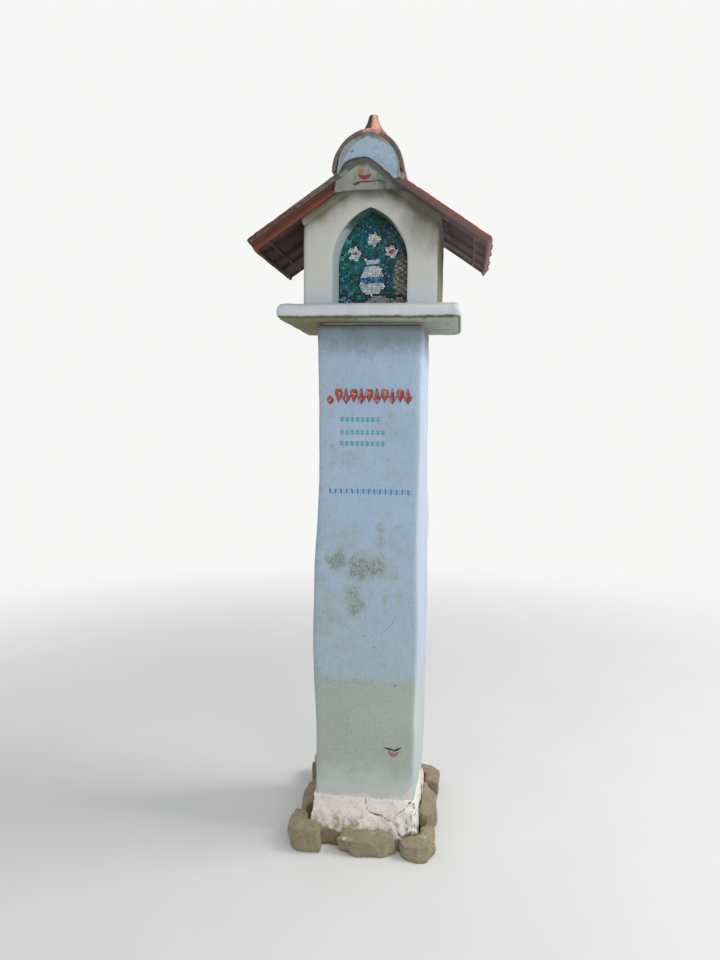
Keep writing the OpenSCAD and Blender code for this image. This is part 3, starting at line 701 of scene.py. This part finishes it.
# NICHE HOUSE
# The house is laid in brick and plastered over in one coat, also round the pointed arch and
# into the niche. The plaster is felted smooth, cream above and bluish with wash at the foot.
pitch = math.radians(34)
rake_z = 2.0503
niche_x = -0.003
walls = ["house_core", "left_jamb", "right_jamb", "arch_gable"]
house, points, normals = skin("plastered_niche_house", solid_mesh(walls, 0.0006), 0.0044, 2)
uneven = 0.0012 * lumps(points, 0.12, 41) + 0.0006 * lumps(points, 0.04, 42) - 0.0004
foot = step(points[:, 2], 1.678, 1.685)
points = points + normals * (uneven * foot)[:, None]
x, y, z = points.T
rake = rake_z - np.abs(x) * math.tan(pitch) - z
inside = step(y, -0.1705, -0.166) * (y < -0.09) * (np.abs(x - niche_x) < 0.1135)
# A fillet of plaster brings the left reveal and the left half of the arch in at the mosaic.
depth = np.clip((y + 0.172) / 0.066, 0, 1)
x += 0.009 * depth * ((y > -0.173) & (y < -0.1) & (np.abs(x - niche_x) < 0.1165) & (x < -0.01))
reshape(house, points)
# The walls darken under the eaves, under the band and towards the right: dirt, with painted shade under the
# roof and the band, and a painted roof shadow on the right side wall.
eaves = np.exp(-np.maximum(rake - 0.012, 0) / 0.036) * (1 + 0.5 * lumps(points, 0.05, 43))
eaves *= 0.68 + 0.4 * step(x, 0.0, 0.1)
painted_shade_under_band = step(z + 0.01 * lumps(points, 0.05, 45), 1.965, 2.0)
eaves = np.maximum(eaves, 0.65 * painted_shade_under_band)
right_top = 0.9 * step(x + 0.02 * lumps(points, 0.06, 46), 0.03, 0.17) * step(z, 1.72, 1.96)
painted_roof_shadow_on_side = 1.3 * step(normals[:, 0], 0.3, 0.8) * step(x, 0.18, 0.2)
mark(house, "inside", inside)
mark(house, "inside_top", inside * step(z, 1.86, 1.95))
mark(house, "eaves", np.maximum(eaves, np.maximum(right_top, painted_roof_shadow_on_side)))
mark(house, "foot", 1 - step(z + 0.01 * lumps(points, 0.04, 44), 1.685, 1.76))
plaster, add, place, clouds = open_finish("felted_cream_lime_plaster", 0.09, 4.0)
coat = over(add, "#c6c7bf", "#d3d4cd", clouds)
coat = over(add, coat, "#c9d1d6", "foot")
# Dirt and painted shade under the eaves and the band, and the painted roof shadow on the right side
coat = over(add, coat, "#7d7a66", "eaves", place, 0.09, 0.6, 1.55)
# Inside the niche the bluish wash is painted paler, as light on the reveals; it turns dark green towards the
# top, under the arch.
coat = over(add, coat, "#cfdbe0", "inside")
coat = over(add, coat, "#56665f", "inside_top", place, 0.03, 0.75, 1.3)
grainy_end(add, place, coat, 0.88, 0.0016, 0.0004, 3.0, 0.6)
house.data.materials.append(plaster)
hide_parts("house_core", "left_jamb", "right_jamb", "arch_gable")
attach(house, "root")

# MOSAIC
# Small glazed pieces, nipped by hand and pressed in wavy courses into a bed of grey grout:
# a pale jar under three blooms on teal, over banded hills.
panel_low, panel_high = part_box("mosaic_panel")
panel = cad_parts["mosaic_panel"]
grout, add, place, clouds = open_finish("grey_cement_grout", 0.01, 4.0)
close_finish(add, over(add, "#1e3336", "#3a4c4e", clouds), 0.92, clouds, 0.0006)
panel.data.materials.clear()
panel.data.materials.append(grout)

course = 0.0064
joint = 0.0010
piece_thick = 0.0024
arch_half = 0.1095
arch_radius = 0.1645
left_fillet = 0.007
spring = 1.802
floor_z = 1.6755
arch_shift = 0.055
palette = {
    "teal": ("#14595f", "#0f4650", "#1f6f6c", "#185f5d", "#0c3740"),
    "green": ("#1f7f72", "#35938a", "#1b6a64", "#4b9f95"),
    "blue": ("#2f5d8c", "#4377a8", "#27496f", "#6b94bd"),
    "pale": ("#ccd6dc", "#b7c5cf", "#dde3e3", "#a9bac9", "#d0d4c9"),
    "stone": ("#8b9094", "#9da2a0", "#747b84", "#a7aaa2"),
    "ochre": ("#7b6a45", "#8a7a5a", "#675c48", "#7a7562", "#5f564b"),
    "warm": ("#c4702f", "#d68a45", "#b8473f", "#a8323c"),
    "dark": ("#16262e", "#1f2f3c", "#2a2630"),
}


def motif(x, z):
    """The colour family at a place of the picture; x is from its middle, z from its foot."""
    hills = 0.030 + 0.010 * math.sin(x * 38) + 0.006 * math.sin(x * 71 + 1)
    if z < hills - 0.004:
        if x < -0.03:
            return "blue" if (x * 57 + z * 83) % 1 < 0.5 else "stone"
        return "ochre" if x > 0.045 and (x * 61 + z * 37) % 1 < 0.5 else "stone"
    if z < hills + 0.003:
        return "dark"
    jar = math.hypot(x / 0.044, (z - 0.078) / 0.046)
    neck = abs(x) < 0.017 + 0.008 * abs(z - 0.132) / 0.012 and 0.112 < z < 0.145
    if jar < 0.9 or neck:
        if abs(z - 0.082) < 0.008 or abs(z - 0.128) < 0.0035:
            return "blue"
        return "pale"
    if jar < 1.04:
        return "dark"
    for bloom_x, bloom_z in ((-0.054, 0.162), (0.004, 0.205), (0.058, 0.168)):
        away = math.hypot(x - bloom_x, z - bloom_z)
        turn = math.atan2(z - bloom_z, x - bloom_x)
        petals = 0.016 + 0.008 * abs(math.cos(2.5 * turn))
        if away < 0.006:
            return "warm"
        if away < petals - 0.003:
            return "pale"
        if away < petals:
            return "dark"
        stem = abs(x - bloom_x * min(1.0, (z - 0.12) / (bloom_z - 0.12)) ** 2)
        if 0.14 < z < bloom_z and stem < 0.0035:
            return "green"
    if math.hypot((x - 0.09) / 0.024, (z - 0.085) / 0.075) < 1:
        return "ochre" if (x * 43 + z * 61) % 1 < 0.6 else "stone"
    if math.hypot(x + 0.082, z - 0.125) < 0.011:
        return "green"
    if (x * 31 + z * 47) % 1 < 0.12:
        return "blue"
    if x > 0.03 and z > 0.14 and (x * 37 + z * 29) % 1 < 0.25:
        return "ochre"
    if x < -0.03 and (x * 23 - z * 31) % 1 < 0.3:
        return "green"
    return "teal"


rng = np.random.default_rng(42)
tessera_points = []
tessera_faces = []
tessera_tints = []
courses = int((panel_high.z - panel_low.z) / course)
for row in range(courses + 1):
    for column in range(-20, 21):
        middle_x = (column + 0.5 * (row % 2)) * course
        middle_z = 0.0045 + row * course
        bend_x = 0.0018 * math.sin(middle_z * 33)
        bend_z = 0.0022 * math.sin(middle_x * 44 + 0.6)
        x = middle_x + bend_x
        z = middle_z + bend_z
        jitter = rng.uniform(-0.00045, 0.00045, (4, 2))
        tips = rng.uniform(-0.00035, 0.00035, 4)
        shift = rng.uniform(0, 1, 4)
        above = max(0.0, z + floor_z - spring)
        arch = arch_half if above == 0 else math.sqrt(max(0, arch_radius ** 2 - above ** 2)) - arch_shift
        if not left_fillet - arch + course * 0.45 < x < arch - course * 0.45 or z < 0.004:
            continue
        half = (course - joint) / 2
        square = np.array([(-half, -half), (half, -half), (half, half), (-half, half)]) + jitter
        start = len(tessera_points)
        for share, rise in ((1.0, -0.0004), (1.0, piece_thick - 0.0005), (0.82, piece_thick)):
            for (dx, dz), tip in zip(square * share, tips):
                lift = rise + (tip if rise > 0 else 0)
                tessera_points.append((niche_x + x + dx, panel_low.y - lift, floor_z + z + dz))
        for level in (0, 4):
            for i in range(4):
                j = (i + 1) % 4
                a = start + level
                tessera_faces.append((a + i, a + j, a + 4 + j, a + 4 + i))
        tessera_faces.append((start + 8, start + 9, start + 10, start + 11))
        tessera_faces.append((start + 3, start + 2, start + 1, start))
        shades = palette[motif(x, z)]
        tint = np.array(paint(shades[int(shift[0] * len(shades))])[:3]) * (0.9 + 0.5 * shift[1])
        tint *= 1 + 0.12 * (shift[2] - 0.5) * np.array((1, 0, -1))
        tessera_tints += [(*tint, 1.0)] * 12
mosaic_mesh = bpy.data.meshes.new("glazed_mosaic")
mosaic_mesh.from_pydata(tessera_points, [], tessera_faces)
tints = mosaic_mesh.attributes.new("tint", "FLOAT_COLOR", "POINT")
tints.data.foreach_set("color", np.array(tessera_tints, dtype=np.float32).ravel())
mosaic = bpy.data.objects.new("glazed_mosaic", mosaic_mesh)
scene.collection.objects.link(mosaic)
# Glazed ceramic, fired glossy and dulled by dust: each piece has its own tone, with a fine
# mottle in the glaze and a low shine.
glaze, add, place, mottle = open_finish("glazed_ceramic_tesserae", 0.003, 3.0)
tint = add("ShaderNodeAttribute", out="Color", attribute_name="tint")
dust = add("ShaderNodeMapRange", {"Value": mottle, "From Min": 0.4, "From Max": 0.75, "To Max": 0.14})
close_finish(add, over(add, tint, "#6f7773", dust), 0.4, mottle, 0.0002, 0.22)
mosaic_mesh.materials.append(glaze)
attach(mosaic, "root")

# TILE BEDS
# Lime mortar on the sloping wall tops, plastered over where it shows. The roof tiles were
# pressed into it, which squeezed it out in a rough bead along the top of each gable wall.
wall_front = 0.174
wall_side = 0.205
for side in ("left", "right"):
    bed, points, normals = skin("tile_mortar_bed_" + side, solid_mesh(["tile_bed_" + side]), 0.0042, 1)
    outside = step(np.abs(points[:, 1]), 0.172, 0.177) * (np.abs(normals[:, 1]) > 0.4)
    squeezed = 0.0016 * lumps(points, 0.024, 51) * outside
    points = points + normals * squeezed[:, None]
    x, _, z = points.T
    # The bead is feathered out over the wall below it.
    above = np.clip((z + np.abs(x) * math.tan(pitch) - rake_z) / 0.02, 0, 1)
    for axis, wall in ((1, wall_front), (0, wall_side)):
        proud = np.maximum(np.abs(points[:, axis]) - wall, 0)
        kept = np.minimum(proud, 0.0003 + 0.003 * above)
        points[:, axis] -= np.sign(points[:, axis]) * (proud - kept)
        z -= 0.006 * (1 - above) * (proud > 0.001) * (axis == 1)
    reshape(bed, points)
    # Dirt and painted shade under the tiles and the band darken the bead, more to the right.
    bed_dirt_and_painted_shade = (1 + 0.5 * lumps(points, 0.05, 43)) * (0.68 + 0.4 * step(x, 0.0, 0.1))
    mark(bed, "eaves", np.maximum(bed_dirt_and_painted_shade, 0.65 * step(z, 1.97, 2.0)))
    bed.data.materials.append(plaster)
    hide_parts("tile_bed_" + side)
    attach(bed, "root")

# ROOF TILES
# Pressed interlocking clay tiles, red engobe over a red body, four in all: ribs, water bars
# and a lip that hooks over the next tile. The open verges are sooty above, and sharp edges
# are rubbed to orange.
roof_z = 2.07114


def slope_frame(side):
    """The matrix from a slope's own frame, down, along the ridge and out, to the shared one."""
    down = Vector((side * math.cos(pitch), 0, -math.sin(pitch)))
    out = Vector((side * math.sin(pitch), 0, math.cos(pitch)))
    along = out.cross(down)
    turn = Matrix((down, along, out)).transposed().to_4x4()
    return Matrix.Translation((0, 0, roof_z)) @ turn


clay, add, place, clouds = open_finish("red_engobe_on_pressed_clay", 0.07, 5.0, 0.6)
engobe = over(add, "#65423a", "#7d5346", clouds)
engobe = over(add, engobe, "#4c403b", "grime", place, 0.03, 0.75, 1.3)
engobe = over(add, engobe, "#6f6c62", "grime", place, 0.014, 1.22, 1.36)
engobe = over(add, engobe, "#76655f", "right")
engobe = over(add, engobe, "#8b4c3e", "red")
# Painted shade on the undersides and low faces: dark brown on the left slope, grey-purple on the right.
engobe = over(add, engobe, over(add, "#3c2d27", "#8b747f", "right"), "sheltered")
engobe = over(add, engobe, "#938f88", "smear", place, 0.015, 1.0, 1.3)
convex = add("ShaderNodeNewGeometry", out="Pointiness")
rubbed = add("ShaderNodeMapRange", {"Value": convex, "From Min": 0.53, "From Max": 0.6, "To Max": 0.35})
engobe = over(add, engobe, "#b0674b", rubbed)
grainy_end(add, place, engobe, 0.78, 0.0018, 0.0006)

tile_places = (("front", "left"), ("back", "left"), ("front", "right"), ("back", "right"))
for number, (end, side) in enumerate(tile_places):
    node = "tile_" + end + "_" + side
    way = -1 if side == "left" else 1
    to_shared = slope_frame(way)
    laid_flat = solid_mesh([node])
    laid_flat.transform(to_shared.inverted())
    tile, points, normals = skin("clay_" + node, laid_flat, 0.0028, 1)
    down = points[:, 0]
    along = points[:, 1] * way
    out = points[:, 2]
    rough = 0.0007 * lumps(points + number, 0.03, 61) + 0.0004 * lumps(points + number, 0.011, 62)
    worn = (np.abs(along) > 0.24) * step(lumps(points + number, 0.018, 63), 0.2, 0.7)
    points = points + normals * (rough - 0.0012 * worn)[:, None]
    verge = step(np.abs(along), 0.242, 0.247) if end == "front" else 0 * down
    lip = verge * step(out, 0.0125, 0.0155) * (side == "left")
    face = verge * (1 - step(out, 0.011, 0.0145)) * (np.abs(normals[:, 2]) < 0.6)
    front_left = (end == "front") * (side == "left")
    front_right = (end == "front") * (side == "right")
    lit_bar = step(np.abs(along), 0.2, 0.215) * step(out, 0.0055, 0.008) * front_right
    rib = step(np.abs(along), 0.2, 0.209) * (1 - step(np.abs(along), 0.235, 0.242))
    rib *= (1 - step(out, 0.005, 0.0075)) * front_left
    grime = 0.25 + 0.3 * step(normals[:, 2], 0.2, 0.8) + 0.2 * step(-down, -0.3, -0.12)
    grime += 0.5 * face * (side == "left") + 0.65 * lip * (0.4 + 0.6 * step(-down, -0.38, -0.15))
    # Undersides and the low faces between the ribs are painted dark as shade. The verge face, the lit bar and
    # the rib are kept out of it, and it is weaker near the front left verge.
    sheltered = step(-normals[:, 2], 0.3, 0.8) + (1 - step(out, 0.002, 0.008)) * (np.abs(normals[:, 2]) < 0.5)
    near_verge = step(np.abs(along), 0.12, 0.2) * front_left
    sheltered = 0.85 * np.clip(sheltered, 0, 1) * (1 - 0.5 * near_verge)
    mark(tile, "grime", grime)
    mark(tile, "sheltered", sheltered * (1 - face) * (1 - lit_bar) * (1 - rib))
    mark(tile, "red", 0.12 * face * (side == "left") + 0.9 * lit_bar + 0.7 * rib)
    mark(tile, "right", 0.6 * (side == "right") + 0 * down)
    smear = np.exp(-(((down - 0.262) / 0.02) ** 2)) * step(-normals[:, 2], 0.1, 0.6) * (side == "right")
    mark(tile, "smear", smear * (0.75 + 0.5 * lumps(points, 0.03, 64)) * (np.abs(along) < 0.205))
    reshape(tile, points)
    tile.data.transform(to_shared)
    tile.data.materials.append(clay)
    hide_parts(node)
    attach(tile, "root")

# RIDGE BEDS
# Two strips of the same mortar as under the slab, laid on the roof tiles on each side of the
# ridge. The ridge tiles are pressed into them.
for side in ("left", "right"):
    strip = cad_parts["ridge_bed_" + side]
    strip.data.materials.clear()
    strip.data.materials.append(mortar)

# RIDGE TILES
# Two hooded clay ridge tiles, the front one lapping the back one in a rebate. A flat nub
# stands up near each open end. Their crowns are paler, rubbed by rain down to the clay. The
# nub's front is painted paler as sunlight, and its left flank darker as painted shade.
ridge_clay, add, place, clouds = open_finish("weathered_red_clay_ridge_tile", 0.06, 5.0, 0.6)
body = over(add, "#8a6257", "#a57c6e", clouds)
body = over(add, body, "#66615c", "grime", place, 0.028, 0.75, 1.25)
body = over(add, body, "#e3ad9a", "washed", place, 0.02, 0.75, 1.2)
convex = add("ShaderNodeNewGeometry", out="Pointiness")
rubbed = add("ShaderNodeMapRange", {"Value": convex, "From Min": 0.53, "From Max": 0.6, "To Max": 0.5})
body = over(add, body, "#bd8068", rubbed)
body = over(add, body, "#573a31", "shady")
grainy_end(add, place, body, 0.8, 0.002, 0.0007)
for number, end in enumerate(("front", "back")):
    ridge, points, normals = skin("clay_ridge_tile_" + end, solid_mesh(["ridge_tile_" + end]), 0.0032, 2)
    rough = 0.0008 * lumps(points, 0.035, 71 + number) + 0.0004 * lumps(points, 0.012, 73 + number)
    points = points + normals * rough[:, None]
    x, y, z = points.T
    nub = step(z, 2.141, 2.155)
    x += (x - 0.007) * nub * (0.2 + 0.1 * step(z, 2.15, 2.195))
    reshape(ridge, points)
    rim = step(np.abs(y), 0.262, 0.268)
    left = step(-x, -0.02, 0.05)
    crown = 1 - step(np.abs(x - 0.01), 0.015, 0.045)
    mark(ridge, "grime", 0.28 + 0.38 * np.maximum(left, rim * (1 - crown)) - 0.25 * nub)
    # The crowns are washed pale by rain; the nub's front is painted pale as sunlight, and its left flank dark
    # as painted shade.
    mark(ridge, "washed", 0.62 * nub * step(-normals[:, 1], 0.2, 0.8) + 0.5 * rim * crown)
    mark(ridge, "shady", nub * step(-normals[:, 0], -0.06, 0.22))
    ridge.data.materials.append(ridge_clay)
    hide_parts("ridge_tile_" + end)
    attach(ridge, "root")

# RIDGE INFILL AND GABLE BAND
# The open end of the ridge is stopped with a bluish limewashed mortar crescent, and below it
# a rounded band of plaster closes the gap up to the tiles. Both were smoothed by hand.
infill_tones = ("#9bb1c6", "#adc0d1", "#8d9498", "#939a9c", "#5f554f")
band_tones = ("#8f938c", "#a5a8a0", "#7b7e71", "#62645a", "#a1785a")
closings = ("ridge_infill_front", "ridge_infill_back", "gable_band_front", "gable_band_back")
for number, node in enumerate(closings):
    infill = node.startswith("ridge_infill")
    voxel, rounds, tones = (0.0025, 3, infill_tones) if infill else (0.003, 9, band_tones)
    piece, points, normals = skin("plaster_" + node, solid_mesh([node]), voxel, rounds)
    x, y, z = points.T
    open_side = step(np.abs(normals[:, 1]), 0.3, 0.8)
    uneven = 0.001 * lumps(points, 0.03, 81 + number) + 0.0006 * lumps(points, 0.012, 85 + number) - 0.0006
    # The crescent's lower edge, where the band begins, hangs lower on the right.
    hollow = 2.073 - 4.6 * (x + 0.018) ** 2
    hang = 0.019 * step(x, -0.01, 0.055)
    if infill:
        # Rough mortar fills the last centimetre up to the tile, and there is a hole in the wash.
        centre_x = np.where(x > 0, -0.014, 0.014)
        inset = 0.105 - np.hypot(x - centre_x, z - 2.0326)
        wide = 0.004 + 0.006 * (1 - step(x, 0.02, 0.06)) + 0.007 * step(-x, 0.02, 0.07)
        rim = 1 - step(inset + 0.003 * lumps(points, 0.012, 90), wide, wide + 0.005)
        z -= hang * (1 - step(z - hollow, 0.0, 0.03))
        y *= 1 - 0.03 * (1 - step(z - hollow, -0.015, 0.01)) * (np.abs(y) > 0.262)
        left_tip = step(-x, 0.062, 0.09) * (1 - step(z, 2.05, 2.085))
        z -= 0.02 * left_tip
        rim = np.maximum(rim, left_tip)
        hole = np.exp(-((np.hypot(x + 0.046, 1.6 * (z - 2.086)) / 0.0034) ** 2))
        uneven += rim * (0.0015 + 0.0022 * lumps(points, 0.009, 91)) - 0.004 * hole
        mark(piece, "shade", rim)
        mark(piece, "hole", hole)
        # A painted shadow of the ridge tile's rim darkens the top of the crescent.
        mark(piece, "rusty", 0.7 * rim * step(z, 2.105, 2.128))
    else:
        # The lower edge was drawn up by hand into a soft lip, and the ends feathered out.
        under = 1 - step(z - (1.9897 - 1.16 * x ** 2), 0.0, 0.06)
        beyond = np.maximum(np.abs(y) - 0.182, 0)
        z += (0.015 + 1.9 * x ** 2) * under * (1 - 9.5 * beyond)
        y -= np.sign(y) * beyond * 0.42 * under ** 2
        y *= 1 - 0.03 * step(np.abs(x), 0.06, 0.098) * (np.abs(y) > 0.2)
        uneven += 0.004 * lumps(points, 0.05, 93) + 0.0016 * lumps(points, 0.02, 94) - 0.002
        # Painted shade just below the crescent's overhanging edge; the band is also darker over its right
        # half.
        crest = hollow - hang
        top = step(z + 0.004 * lumps(points, 0.02, 92), crest - 0.03, crest - 0.012)
        right = 0.6 * step(x + 0.01 * lumps(points, 0.03, 95), 0.0, 0.05)
        mark(piece, "shade", np.maximum(0.95 * top, right))
        # An orange-brown smear on the front of the band, round the cup.
        rusty = np.exp(-(((x + 0.021) / 0.013) ** 2 + ((z - 2.035) / 0.017) ** 2))
        mark(piece, "rusty", rusty * (y < 0))
    reshape(piece, points + normals * (uneven * open_side)[:, None])
    skim, add, place, clouds = open_finish("hand_smoothed_skim_" + node, 0.03)
    tone = over(add, tones[0], tones[1], clouds)
    tone = over(add, tone, tones[2], 0.3, place, 0.012)
    # Rough mortar at the crescent's rim, and painted shade on the band
    tone = over(add, tone, tones[3], "shade", place, 0.012, 0.6, 1.35)
    tone = over(add, tone, tones[4], "rusty", place, 0.01, 0.65, 1.7)
    tone = over(add, tone, "#2e2c29", "hole")
    grainy_end(add, place, tone, 0.9, 0.002, 0.0007, 4.0, 0.65)
    piece.data.materials.append(skim)
    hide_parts(node)
    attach(piece, "root")
    if node == "gable_band_front":
        band_face = wall_of(piece)

# A small painted mark on the band: a red cup with a thin dark stroke under it.
red_cup = [cup(-0.011, 2.0295, 0.038, 0.0135)]
stroke = [leaf(-0.036, 2.0085, 0.024, 0.0058, 1.3), leaf(-0.004, 2.0125, 0.06, 0.0028, 1.55)]
stroke.append(leaf(0.034, 2.012, 0.034, 0.0024, 1.8))
for name, outlines, tones, worn in (
    ("band_cup", red_cup, ("#8f2f35", "#a5443f", "#a98a7e"), 0.12),
    ("band_stroke", stroke, ("#2e2a28", "#46403a", "#5d5a50"), 0.15),
):
    piece = painted_piece(name, band_face, outlines, 0.0006, 0.2, tones, worn)
    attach(piece, "root")
